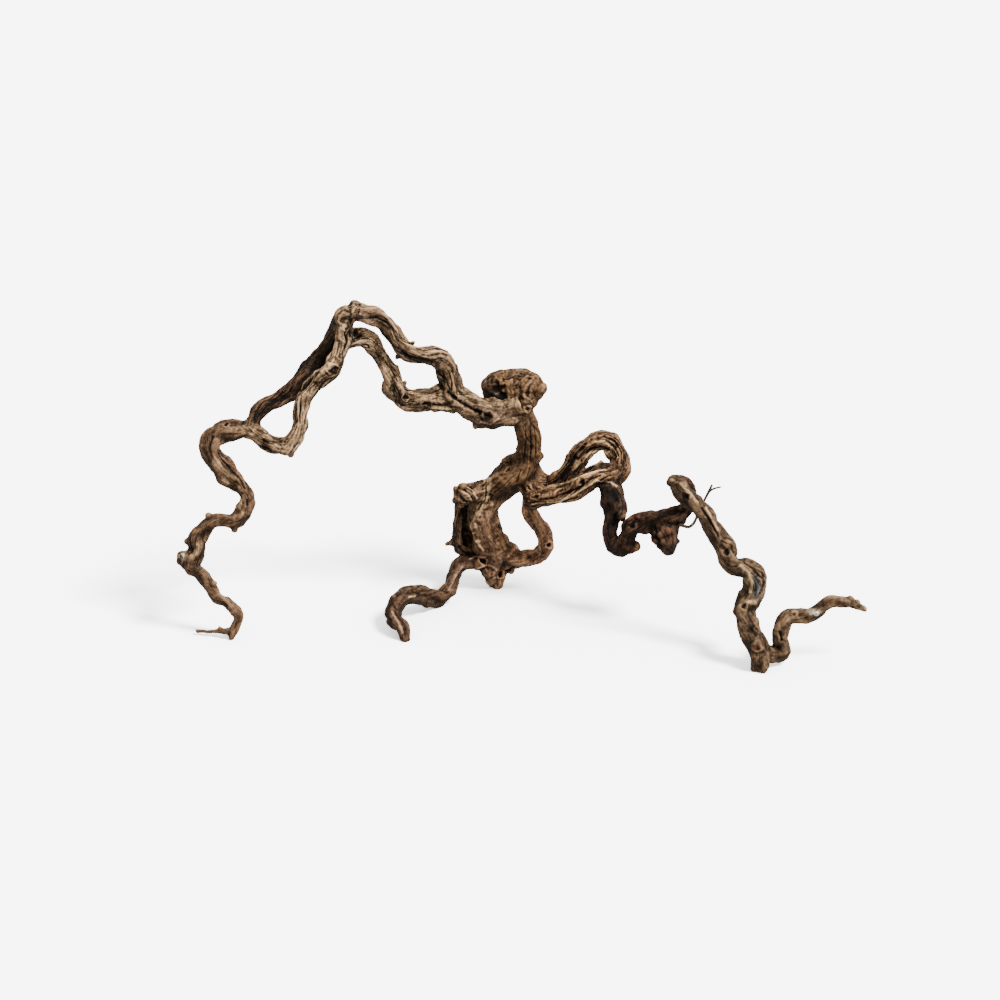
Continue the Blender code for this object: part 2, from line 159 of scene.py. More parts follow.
# A limb's stations are written as they are sighted from the camera: across, down, away
# and radius, in millimetres of a grid that lies over the picture.
grow("trunk", WALNUT, 0.25, [
    (519, 405, 121, 15), (522, 418, 123, 12), (527, 432, 127, 11.5), (530, 446, 130, 11),
    (528, 460, 133, 13.5), (515, 474, 137, 17.5), (497, 486, 140, 16), (488, 499, 141, 15),
    (483, 514, 141, 14), (484, 530, 143, 14.5), (489, 543, 146, 16), (493, 555, 148, 14),
    (494, 566, 150, 12), (495, 575, 150, 10), (496, 582, 151, 8), (496, 588, 152, 6.5)])
grow("thick_arm", STRAW, 0.35, [
    (519, 410, 120, 14), (505, 413, 116, 15), (490, 414, 112, 15), (478, 409, 109, 13.5),
    (465, 402, 107, 12.5), (453, 396, 105, 13)])
grow("trunk_back", BROWN, 0.6, [
    (482, 490, 141, 8), (469, 497, 145, 6), (461, 506, 148, 5.5), (459, 518, 150, 6),
    (459, 531, 151, 6.5), (460, 543, 151, 8.5), (470, 551, 150, 8), (484, 557, 149, 9)])
grow("stub", BROWN, 0.9, [(486, 488, 136, 11), (475, 493, 126, 10), (463, 495, 116, 10)])
knobs([
    (541, 456, 130, 2.5), (505, 461, 136, 4), (497, 521, 138, 3), (501, 537, 143, 4),
    (456, 489, 113, 4), (456, 500, 113, 4), (463, 486, 108, 3.5), (460, 505, 108, 3.5),
    (447, 544, 151, 2.5), (452, 543, 151, 4), (458, 550, 151, 5), (511, 569, 150, 4.5),
    (478, 563, 144, 8), (488, 570, 143, 8), (475, 425, 107, 4), (436, 407, 102, 6)])
for place, halves in [
        ((531, 476, 132), (13, 12, 14)), ((467, 527, 154), (7, 5, 18)),
        ((508, 550, 147), (12, 10, 9)), ((504, 553, 141), (13, 9, 8)),
        ((537, 489, 118), (7.5, 10, 6)), ((497, 545, 139), (10, 8, 14)),
        ((503, 542, 140), (7, 8, 9)), ((463, 495, 113), (10, 9, 10.5))]:
    lump(place, halves)

# The burl on the trunk's head. A knobbly growth of short wild grain, wider than the
# stem, that the trunk made round old buds; it is lumps grown into one another.
for place, halves in [
        ((513, 391, 134), (25, 17, 11)), ((527, 385, 138), (17, 18, 13)),
        ((503, 382, 140), (19, 17, 12)), ((540, 388, 131), (7, 9, 6.5)),
        ((490, 386, 134), (9, 11, 10)), ((514, 377, 143), (21, 13, 8.5)),
        ((532, 380, 141), (9, 12, 8)), ((527, 399, 128), (11, 12, 12)),
        ((489, 393, 137), (8, 7, 8)), ((537, 393, 130), (7, 8, 7))]:
    lump(place, halves)

# The left arm. It forks into an upper and a lower strand that meet again at the crest,
# then runs down in a front strand and a dark back strand round an eye-shaped gap.
# It is weathered straw-coloured wood, furrowed along its length.
PALE_STRAW = (0.195, 0.127, 0.077)
UMBER = (0.041, 0.023, 0.013)

grow("upper_strand", STRAW, 0.9, [
    (453, 397, 105, 11), (451, 383, 104, 10), (448, 371, 103, 10.5), (443, 361, 100, 10.5),
    (435, 356, 96, 10), (424, 356, 91, 9), (413, 354, 87, 8.5), (403, 349, 87, 8.5),
    (397, 341, 89, 8.5), (391, 331, 88, 9), (383, 321, 83, 8.8), (374, 315, 76, 9.3),
    (362, 314, 70, 8.5), (350, 312, 67, 10.5)])
grow("lower_strand", PALE_STRAW, 0.9, [
    (455, 400, 106, 13), (440, 399, 106, 12), (428, 400, 108, 10.5), (415, 400, 109, 11),
    (404, 398, 107, 11), (397, 393, 103, 11.5), (393, 385, 99, 10.5), (391, 376, 98, 8.5),
    (386, 366, 99, 8.5), (380, 356, 100, 8.5), (373, 346, 97, 8.5), (365, 339, 90, 9.5),
    (355, 339, 81, 9.5), (345, 341, 70, 9)])
grow("front_strand", PALE_STRAW, 0.9, [
    (352, 311, 67, 9.5), (346, 317, 66, 10), (343, 330, 65, 9.5), (342, 342, 63, 8),
    (340, 352, 60, 8), (336, 362, 56, 9.5), (331, 370, 52, 9), (321, 378, 50, 8),
    (314, 386, 51, 8), (307, 394, 53, 8), (302, 403, 53, 9), (301, 413, 50, 8),
    (301, 422, 46, 7.5), (298, 431, 43, 8), (293, 440, 42, 8.5), (287, 446, 43, 9.5),
    (277, 446, 45, 9), (268, 442, 47, 8.5), (260, 436, 47, 7.5), (250, 430, 46, 8.5)])
# The back strand's dark umber is partly its own dark wood, partly painted shadow of the front
# strand
grow("back_strand", UMBER, 1.0, [
    (343, 320, 68, 9), (338, 332, 74, 9), (328, 347, 81, 9.5), (318, 359, 84, 8.5),
    (307, 371, 82, 9), (298, 382, 77, 9), (289, 393, 72, 8.5), (276, 402, 68, 7.5),
    (263, 408, 62, 8), (256, 416, 54, 7.5), (249, 428, 47, 8)])
knobs([
    (397, 357, 88, 3), (413, 343, 86, 3), (405, 383, 104, 3.5), (396, 367, 100, 3.5),
    (385, 383, 97, 4), (291, 454, 43, 4.5)])
lump((320, 366, 81), (7, 6, 7))

# The left leg and its twig. The arm goes on as a thin zigzag leg, knuckled where side
# shoots were, and ends in a tip with one budded year-old twig that lies on the floor.
grow("left_leg", BROWN, 0.35, [
    (256, 432, 47, 8), (245, 430, 46, 9), (232, 431, 47, 11), (220, 432, 46, 11),
    (211, 438, 42, 10), (210, 446, 38, 10), (213, 456, 35, 10), (220, 466, 34, 11.5),
    (228, 475, 36, 10.5), (238, 483, 38, 8.5), (244, 491, 38, 7), (247, 500, 35, 8),
    (246, 508, 31, 8.5), (240, 516, 28, 8), (232, 520, 26, 7.5), (222, 520, 27, 6.5),
    (212, 523, 29, 7), (203, 530, 30, 7.5), (197, 539, 28, 9), (198, 549, 25, 9),
    (195, 557, 22, 8), (192, 566, 20, 8.5), (199, 572, 20, 6), (206, 580, 20, 6.5),
    (211, 589, 18, 6.5), (217, 597, 15, 6.5), (226, 601, 12, 5.5), (233, 609, 11, 5),
    (238, 617, 11, 4.8), (237, 624, 10, 4.6), (233, 632, 8, 4.3), (230, 641, 6, 2.6)])
grow("left_twig", BROWN, 0.3, [
    (234, 630, 9, 4), (228, 631, 9, 3.2), (222, 631.5, 11, 2.8), (215, 631, 14, 2.6),
    (209, 631.5, 16, 2.8), (202, 631, 18, 2.6), (196, 631, 19, 2.4)])
knobs([
    (182, 557, 24, 6), (181, 561, 24, 5.5), (187, 556, 23, 6.5), (234, 529, 26, 3.5),
    (187, 563, 22, 7.5), (192, 560, 20, 7), (208, 515, 28, 3), (187, 541, 28, 4),
    (215, 583, 16, 3.5), (220, 628, 12, 1.7), (209, 633, 15, 1.7)])

# The front leg. A low limb that leaves the knuckle under the trunk and snakes forward
# over the floor to a blunt foot, in dull brown wood with few furrows.
ASH_BROWN = (0.053, 0.030, 0.0175)

grow("front_leg", ASH_BROWN, 0.3, [
    (482, 561, 149, 8), (470, 562, 144, 7.5), (460, 566, 137, 8), (455, 573, 128, 6.5),
    (452, 582, 117, 6.5), (448, 590, 107, 7.5), (440, 598, 97, 8.5), (430, 598, 87, 8.5),
    (418, 596, 74, 9.5), (407, 597, 60, 9.5), (398, 603, 47, 8.5), (394, 612, 34, 8.5),
    (396, 621, 22, 8), (403, 629, 11, 8), (405, 638, 4, 5.5), (404, 643, 1, 3.5)])
knobs([(389, 622, 22, 4), (393, 598, 48, 4)])

# The ring limb. It leaves the trunk, bows out to the right and grows back into the
# trunk's base, round an open hole. It is smooth brown wood, as the trunk is.
RING_BROWN = (0.222, 0.120, 0.069)

grow("ring_limb", RING_BROWN, 0.25, [
    (524, 484, 130, 9), (531, 492, 119, 7.5), (528, 502, 112, 8), (530, 511, 111, 7.5),
    (535, 520, 114, 7), (541, 530, 119, 7.5), (544, 540, 122, 8), (543, 549, 127, 8.5),
    (536, 556, 133, 8), (526, 559, 138, 9), (514, 559, 143, 9.5), (500, 556, 147, 10)])

# The loop. A back and a front strand arch to the right of the trunk round a small
# opening; their pale ridges run in long waves, and a torn flap hangs at the right.
LOOP_BROWN = (0.144, 0.082, 0.045)

grow("loop_back", LOOP_BROWN, 1.1, [
    (534, 477, 133, 8), (549, 483, 129, 6), (558, 480, 125, 8), (567, 472, 122, 9.5),
    (575, 462, 119, 11.3), (583, 451, 114, 10.8), (591, 444, 110, 9.5), (600, 441, 108, 9.5),
    (609, 443, 107, 10), (616, 450, 104, 11), (620, 460, 98, 10), (618, 470, 91, 10)])
grow("loop_front", LOOP_BROWN, 1.1, [
    (619, 469, 92, 9), (607, 473, 83, 9.5), (597, 475, 78, 10.5), (588, 480, 76, 11),
    (578, 487, 79, 11), (567, 493, 85, 10.5), (555, 495, 90, 9.5), (543, 497, 97, 9),
    (533, 499, 105, 9), (530, 492, 119, 8)])
grow("loop_flap", LOOP_BROWN, 0.9, [
    (627, 466, 92, 3.5), (626, 474, 90, 3.5), (622, 481, 88, 2.8), (618, 486, 87, 1.5)])
knobs([
    (559, 494, 78, 5), (629, 471, 90, 2.5), (624, 466, 93, 5), (595, 466, 78, 3),
    (601, 464, 80, 3.5), (608, 467, 83, 3), (614, 464, 89, 3.5)])
lump((581, 470, 113), (7, 7, 6))

# The hanging limb. Dark red-brown wood that drops from the loop, folds up again, hangs
# a knob, and then curls up behind the right leg and over its top.
DARK_RED = (0.041, 0.022, 0.0135)

grow("hanging_limb", DARK_RED, 0.45, [
    (612, 470, 88, 10), (609, 485, 84, 12), (614, 497, 79, 12.5), (615, 508, 74, 12),
    (611, 519, 71, 8), (610, 531, 69, 7), (613, 542, 65, 9), (621, 546, 58, 11),
    (626, 537, 52, 9), (631, 528, 50, 9.5), (641, 524, 50, 10), (652, 521, 49, 10.5),
    (663, 519, 47, 10), (675, 516, 45, 9.5), (683, 512, 43, 8.5), (688, 504, 39, 7.5),
    (690, 495, 31, 6.5), (687, 487, 20, 6.5), (681, 483, 9, 7.5), (675, 484, 1, 8)])
grow("hanging_knob", DARK_RED, 0.45, [
    (662, 519, 47, 9), (666, 529, 44, 13), (667, 540, 42, 13), (668, 548, 42, 9.5),
    (669, 555, 42, 3.5)])
knobs([
    (635, 546, 53, 6), (629, 547, 55, 8), (664, 530, 40, 9), (640, 516, 48, 4),
    (672, 482, 1, 6), (677, 529, 41, 3), (678, 541, 42, 3), (672, 550, 42, 3.5),
    (659, 546, 41, 3), (652, 513, 48, 3), (664, 512, 46, 3), (660, 534, 33, 4),
    (669, 531, 32, 4), (664, 542, 32, 4), (672, 541, 34, 4), (667, 549, 36, 3.5),
    (656, 541, 37, 3.5)])
lump((621, 514, 67), (6, 9, 7))
lump((680, 519, 44), (7, 7, 8))

# The right leg and its tip. A long grey-brown leg that swells and narrows on its way
# down to its foot, where a thin end turns up again to a pale cut.
GREY_BROWN = (0.082, 0.051, 0.030)
TAN = (0.103, 0.064, 0.038)

grow("right_leg", GREY_BROWN, 0.3, [
    (677, 481, 2, 7), (682, 490, -6, 9.5), (690, 499, -11, 9), (699, 508, -15, 9),
    (707, 516, -17, 9.5), (713, 527, -19, 8.5), (719, 539, -21, 9), (726, 550, -25, 10),
    (729, 561, -31, 9.5), (737, 567, -36, 9.5), (746, 568, -39, 9.5), (753, 576, -41, 11),
    (754, 588, -42, 11), (751, 599, -45, 12.5), (745, 608, -50, 12), (745, 617, -56, 11),
    (750, 628, -62, 11), (755, 639, -67, 11), (758, 651, -71, 9.5), (759, 661, -74, 9.5),
    (759, 671, -74, 7.5)])
grow("right_tip", TAN, 0.2, [
    (758, 655, -71, 8), (766, 654, -67, 7.5), (775, 655, -63, 7.5), (783, 652, -61, 7.5),
    (782, 643, -62, 8), (780, 633, -65, 8), (782, 624, -65, 8), (788, 618, -62, 8),
    (797, 617, -58, 8), (807, 616, -55, 8), (816, 612, -54, 7), (824, 606, -55, 6.5),
    (833, 601, -57, 6), (843, 602, -56, 5.5), (851, 604, -53, 4.8), (859, 607, -50, 3.8),
    (867, 609, -48, 3.3)])
knobs([
    (757, 647, -76, 6), (794, 614, -63, 5), (727, 544, -30, 5), (745, 604, -55, 6),
    (740, 611, -52, 8), (816, 613, -59, 4), (850, 600, -54, 4), (857, 603, -52, 3.8)])

# One skin. All limbs and lumps grew together, so they are joined, swelled and shrunk
# again round the joints to web them, and given one even skin for the bark.
JOIN_GRAIN = 1.0 * MM
WEB = 3.0 * MM
WEB_EDGE = 8 * MM
# Where limbs meet, and how far round each place its web reaches
JOINTS = [
    ((522, 470, 134), 34), ((492, 530, 146), 34), ((448, 398, 105), 20),
    ((352, 322, 68), 24), ((252, 430, 47), 14), ((614, 465, 98), 18)]
SKIN_GRAIN = 0.85 * MM
LUMP_SIZE = 13 * MM
LUMP_HEIGHT = 4.5 * MM
LATTICE_PRIMES = (73856093, 19349663, 83492791, 374761393)
MIXERS = (1274126177, 2246822519)
WORD = 0xFFFFFFFF
HALF_WORD = 0xFFFF
SEED_STEP = 101
NOISE_GAIN = 1.6


def shaped(kind, **values):
    """Give the skin a modifier with these values, and apply it."""
    made = vine.modifiers.new(kind.lower(), kind)
    for key, value in values.items():
        setattr(made, key, value)
    bpy.ops.object.modifier_apply(modifier=made.name)


def read_vectors(items, key):
    """Read one three-part value of every item into an array."""
    values = np.empty(len(items) * 3, "f4")
    items.foreach_get(key, values)
    return values.reshape(-1, 3).astype("f8")


def write_places(values):
    """Move the points of the skin to new places."""
    vine.data.vertices.foreach_set("co", values.astype("f4").ravel())
    vine.data.update()


def swell_joints(amount):
    """Move the skin outward by an amount, but only round the joints."""
    spots = read_vectors(vine.data.vertices, "co")
    outward = read_vectors(vine.data.vertex_normals, "vector")
    share = np.zeros(len(spots))
    for place, reach in JOINTS:
        away = np.linalg.norm(spots - np.array(sighted(*place)[0]), axis=1)
        share = np.maximum(share, np.clip((reach * MM - away) / WEB_EDGE, 0, 1))
    write_places(spots + outward * (amount * share)[:, None])


bpy.ops.object.select_all(action="DESELECT")
for part in growth:
    part.select_set(True)
bpy.context.view_layer.objects.active = growth[0]
bpy.ops.object.join()
bpy.data.objects.remove(section)
vine = bpy.context.object
vine.name = "vine"
clouds = bpy.data.textures.new("lumps", "CLOUDS")
clouds.noise_scale = LUMP_SIZE
shaped("REMESH", mode="VOXEL", voxel_size=JOIN_GRAIN)
swell_joints(WEB)
shaped("REMESH", mode="VOXEL", voxel_size=JOIN_GRAIN)
swell_joints(-WEB)
shaped("SMOOTH", factor=0.5, iterations=3)
shaped("DISPLACE", texture=clouds, texture_coords="LOCAL", strength=LUMP_HEIGHT, mid_level=0.5)
shaped("REMESH", mode="VOXEL", voxel_size=SKIN_GRAIN)
shaped("SMOOTH", factor=0.5, iterations=4)

places = read_vectors(vine.data.vertices, "co")
normals = read_vectors(vine.data.vertex_normals, "vector")
edges = np.empty(len(vine.data.edges) * 2, "i4")
vine.data.edges.foreach_get("vertices", edges)
edges = edges.reshape(-1, 2)
neighbours = np.bincount(edges.ravel(), minlength=len(places))


def spread(values, rounds):
    """Average values with those of the neighbouring points, a number of times over."""
    for turn in range(rounds):
        columns = []
        for column in values.T:
            total = np.bincount(edges[:, 0], column[edges[:, 1]], len(places))
            total += np.bincount(edges[:, 1], column[edges[:, 0]], len(places))
            columns.append(total / neighbours)
        values = 0.5 * values + 0.5 * np.stack(columns, axis=1)
    return values


def hashed(x, y, z, seed):
    """Give a repeatable number from -1 to 1 for each corner of a lattice."""
    across, back, up, other = LATTICE_PRIMES
    mixed = (x * across) ^ (y * back) ^ (z * up) ^ (seed * other)
    mixed = (mixed ^ (mixed >> 13)) * MIXERS[0] & WORD
    mixed = (mixed ^ (mixed >> 16)) * MIXERS[1] & WORD
    mixed = mixed ^ (mixed >> 15)
    return (mixed & HALF_WORD) / (HALF_WORD / 2) - 1


def noise(spots, seed):
    """Give smooth noise, about -1 to 1, at each spot of an array."""
    cell = np.floor(spots).astype("i8")
    part_way = spots - cell
    ease = part_way * part_way * part_way * (part_way * (part_way * 6 - 15) + 10)
    total = np.zeros(len(spots))
    for corner in range(8):
        dx, dy, dz = corner & 1, corner >> 1 & 1, corner >> 2 & 1
        x, y, z = cell[:, 0] + dx, cell[:, 1] + dy, cell[:, 2] + dz
        share = np.where(dx, ease[:, 0], 1 - ease[:, 0])
        share = share * np.where(dy, ease[:, 1], 1 - ease[:, 1])
        share = share * np.where(dz, ease[:, 2], 1 - ease[:, 2])
        slope = sum(
            hashed(x, y, z, seed + SEED_STEP * axis) * (part_way[:, axis] - offset)
            for axis, offset in enumerate((dx, dy, dz)))
        total += share * slope
    return total * NOISE_GAIN


# Knots, holes and scars. Each is found on the skin along a line of sight. A knot has a
# raised rim round a pit; a scar is a line that is cut in or stands out. Their colours are
# real stains, and painted shade where they darken deep pits, gaps and shaded undersides.
RED_BROWN = (0.125, 0.050, 0.030)
BASE_BROWN = (0.262, 0.150, 0.093)
NEAR_BLACK = (0.026, 0.016, 0.010)
# The next two are painted shade: blue-black on the burl cave's wall, near-black in deep
# recesses
CAVE_WALL_SHADE = (0.016, 0.017, 0.020)
RECESS_SHADE = (0.012, 0.008, 0.006)
CREAM = (0.36, 0.25, 0.14)
FUNGUS = (0.62, 0.58, 0.50)
SLATE = (0.105, 0.110, 0.112)
ROSE = (0.25, 0.145, 0.105)
RIM_WIDTH = 0.35
PIT_WIDTH = 0.62
STAIN_WIDTH = 0.68
BEND = 0.5
BEND_WIDTH = 1.7
KNOT_RAGGED = 0.5
SCAR_RAGGED = 0.45
SCAR_RAG_SIZE = 4 * MM
SCAR_REACH = 4
rise = np.zeros(len(places))
bent = places.copy()
stains_and_shades = []


def touched(across, down):
    """Find the point where a line of sight meets the skin."""
    hit, place = vine.ray_cast(EYE, sight_line(across, down).normalized())[:2]
    if not hit:
        print("nothing at", across, down)
    return np.array(place)


def knot(across, down, radius, hole, rim, stain_and_shade):
    """Pit the skin, raise a rim round the pit, lead the grain round it and colour it."""
    middle = touched(across, down)
    radius *= MM
    offset = places - middle
    out = np.linalg.norm(offset, axis=1) / radius
    out *= 1 + KNOT_RAGGED * noise(places / radius + across, 31)
    rise[:] += rim * MM * np.exp(-((out - 1) / RIM_WIDTH) ** 2)
    rise[:] -= hole * MM * np.exp(-(out / PIT_WIDTH) ** 2)
    bent[:] -= offset * (BEND * np.exp(-(out / BEND_WIDTH) ** 2))[:, None]
    stains_and_shades.append((np.exp(-(out / STAIN_WIDTH) ** 3), stain_and_shade))


def scar(path, width, height, stain_and_shade, strength):
    """Cut a line into the skin, or raise one, along sighted places, and colour it; some are
    shade.
    """
    line = []
    for (x0, y0), (x1, y1) in zip(path, path[1:]):
        steps = max(1, int(math.hypot(x1 - x0, y1 - y0)))
        for step in range(steps):
            share = step / steps
            line.append(touched(x0 + (x1 - x0) * share, y0 + (y1 - y0) * share))
    line = np.array(line)
    width *= MM
    spare = SCAR_REACH * width
    near = np.all((places > line.min(0) - spare) & (places < line.max(0) + spare), axis=1)
    near = np.flatnonzero(near)
    gaps = np.sqrt(((places[near][:, None, :] - line[None, :, :]) ** 2).sum(2).min(1))
    gaps *= 1 + SCAR_RAGGED * noise(places[near] / SCAR_RAG_SIZE, 32)
    inside = np.exp(-(gaps / width) ** 2)
    rise[near] += height * MM * inside
    amount = np.zeros(len(places))
    amount[near] = strength * inside
    stains_and_shades.append((amount, stain_and_shade))


# Across, down, radius, depth of the pit, height of the rim and colour of each knot; the
# near-black in the deep pits is painted shade
for across, down, radius, hole, rim, stain_and_shade in [
        (346, 321, 6, 2.0, 1.2, NEAR_BLACK), (334, 371, 5.5, 1.8, 1.2, NEAR_BLACK),
        (346, 321, 3, -1.6, 0, BROWN), (334, 371, 2.5, -1.4, 0, BROWN),
        (405, 397, 5.5, 3.4, 0.8, RECESS_SHADE), (529, 408, 5, 3.0, 0.5, RECESS_SHADE),
        (515, 421, 3, 0.4, 0.3, ROSE), (226, 424, 3, 2.2, 0.5, RECESS_SHADE),
        (549, 545, 3.5, 2.4, 0.6, RECESS_SHADE), (582, 482, 4.5, 3.4, 1.0, RECESS_SHADE),
        (536, 497, 4, 2.4, 0.7, RECESS_SHADE), (632, 525, 5, 2.6, 0.7, RECESS_SHADE),
        (686, 497, 5, 2.4, 0.2, RECESS_SHADE), (744, 606, 4, 2.6, 0.3, RECESS_SHADE),
        (757, 647, 5.5, 1.4, 1.0, RED_BROWN), (559, 493, 5.5, 1.2, 1.0, RED_BROWN),
        (483, 561, 4.5, 2.4, 1.0, NEAR_BLACK), (500, 574, 4.5, 2.4, 1.0, NEAR_BLACK),
        (794, 614, 3, 0.8, 0.2, RED_BROWN), (530, 378, 3, 2.2, 0.3, RECESS_SHADE),
        (508, 470, 3, 2.2, 0.2, NEAR_BLACK), (488, 417, 6, 4.5, 0.9, RECESS_SHADE),
        (727, 553, 4, 0.6, 0.5, UMBER), (816, 614, 1.6, 1.2, 0.2, RECESS_SHADE)]:
    knot(across, down, radius, hole, rim, stain_and_shade)

# Dark hollows and grooves, each a path with its width, height, colour and strength. Some
# are painted shade: the burl's cave and its wall, the gap between the trunk and its back
# strand, the upper strand's underside, the back strand behind the front one and the top of
# the hanging limb under the loop are darkened where shade falls.
for path, width, height, stain_and_shade, strength in [
        ([(490, 384), (489, 391), (492, 397)], 7.5, -0.4, NEAR_BLACK, 0.85),
        ([(488, 377), (487, 383)], 2.0, -0.8, CAVE_WALL_SHADE, 0.8),
        ([(497, 388), (500, 393), (503, 397)], 5.5, -4.0, RECESS_SHADE, 0.95),
        ([(504, 379), (512, 377), (520, 379)], 2.2, -1.4, NEAR_BLACK, 0.65),
        ([(521, 384), (520, 391), (521, 398)], 1.3, -0.8, NEAR_BLACK, 0.4),
        ([(530, 385), (528, 391), (528, 397)], 1.6, -1.0, NEAR_BLACK, 0.5),
        ([(447, 392), (457, 399), (465, 404), (473, 409), (481, 413)], 2.2, -3.0, RECESS_SHADE, 0.9),
        ([(484, 419), (491, 416)], 3.6, -1.0, RECESS_SHADE, 1.0),
        ([(425, 404), (436, 406), (448, 405)], 2.4, -2.0, NEAR_BLACK, 0.75),
        ([(464, 507), (463, 520), (464, 534), (466, 544)], 3.4, -2.0, RECESS_SHADE, 0.75),
        ([(459, 547), (463, 552), (470, 554)], 2.4, -1.5, RECESS_SHADE, 0.8),
        ([(464, 490), (470, 494), (474, 500)], 1.2, -1.2, NEAR_BLACK, 0.6),
        ([(460, 496), (464, 501), (469, 503)], 1.8, -1.8, RECESS_SHADE, 0.8),
        ([(470, 487), (475, 492), (478, 497)], 1.0, -1.0, NEAR_BLACK, 0.5),
        ([(510, 570), (514, 567)], 2.2, -1.5, RECESS_SHADE, 0.8),
        ([(526, 424), (526, 440), (524, 458)], 0.9, -0.5, NEAR_BLACK, 0.6),
        ([(530, 420), (531, 440), (530, 462)], 0.9, -0.5, NEAR_BLACK, 0.5),
        ([(534, 426), (536, 442), (535, 458)], 0.9, -0.5, NEAR_BLACK, 0.6),
        ([(562, 478), (566, 470), (570, 462), (573, 456)], 4.5, -1.6, RECESS_SHADE, 0.9),
        ([(558, 486), (570, 481), (582, 474), (592, 467)], 3.2, -1.0, RECESS_SHADE, 0.9),
        ([(594, 466), (601, 463), (609, 466), (616, 465)], 2.2, 0.0, UMBER, 0.7),
        ([(578, 459), (584, 453), (591, 449), (601, 447), (609, 450)], 1.8, -2.2, RECESS_SHADE, 0.85),
        ([(591, 439), (604, 436), (615, 442), (622, 453), (622, 464)], 1.2, -1.4, RECESS_SHADE, 0.75),
        ([(613, 447), (615, 457)], 3.0, -2.2, RECESS_SHADE, 0.9),
        ([(541, 500), (556, 497), (568, 492), (579, 488), (590, 480), (601, 475)], 1.4, -1.8,
         RECESS_SHADE, 0.8),
        ([(603, 491), (612, 492), (620, 498)], 5.5, -0.8, RECESS_SHADE, 0.85),
        ([(612, 498), (613, 512), (613, 526)], 6.0, -0.6, RECESS_SHADE, 0.8),
        ([(352, 333), (361, 335)], 4.5, -2.0, RECESS_SHADE, 0.9),
        ([(334, 344), (324, 356), (312, 370)], 7.0, -0.6, RECESS_SHADE, 0.8),
        ([(318, 373), (306, 385), (294, 396)], 3.0, -2.2, RECESS_SHADE, 0.85),
        ([(387, 338), (396, 350), (409, 357), (425, 360), (435, 362), (440, 372)], 2.4, -0.8,
         RECESS_SHADE, 0.8),
        ([(247, 500), (247, 506)], 1.0, -1.4, RECESS_SHADE, 0.9),
        ([(213, 437), (209, 447), (212, 458)], 1.6, -1.0, NEAR_BLACK, 0.6),
        ([(222, 459), (231, 470), (240, 479), (245, 489)], 1.4, -1.0, NEAR_BLACK, 0.6),
        ([(407, 594), (413, 592), (420, 594)], 1.5, -0.8, NEAR_BLACK, 0.5),
        ([(392, 604), (398, 610)], 1.8, -0.8, NEAR_BLACK, 0.5),
        ([(655, 527), (657, 537), (662, 546)], 1.8, -1.2, RECESS_SHADE, 0.7),
        ([(722, 541), (731, 545), (733, 553)], 1.2, -1.0, NEAR_BLACK, 0.6),
        ([(762, 573), (764, 583), (760, 594)], 1.4, -1.0, NEAR_BLACK, 0.6),
        ([(702, 508), (711, 523), (719, 537)], 1.3, -1.4, RECESS_SHADE, 0.8),
        ([(744, 562), (752, 568), (761, 578)], 1.3, -1.3, RECESS_SHADE, 0.8),
        ([(751, 629), (756, 635)], 3.5, -1.6, RECESS_SHADE, 0.85),
        ([(780, 632), (782, 641)], 1.5, -1.8, RECESS_SHADE, 0.9)]:
    scar(path, width, height, stain_and_shade, strength)

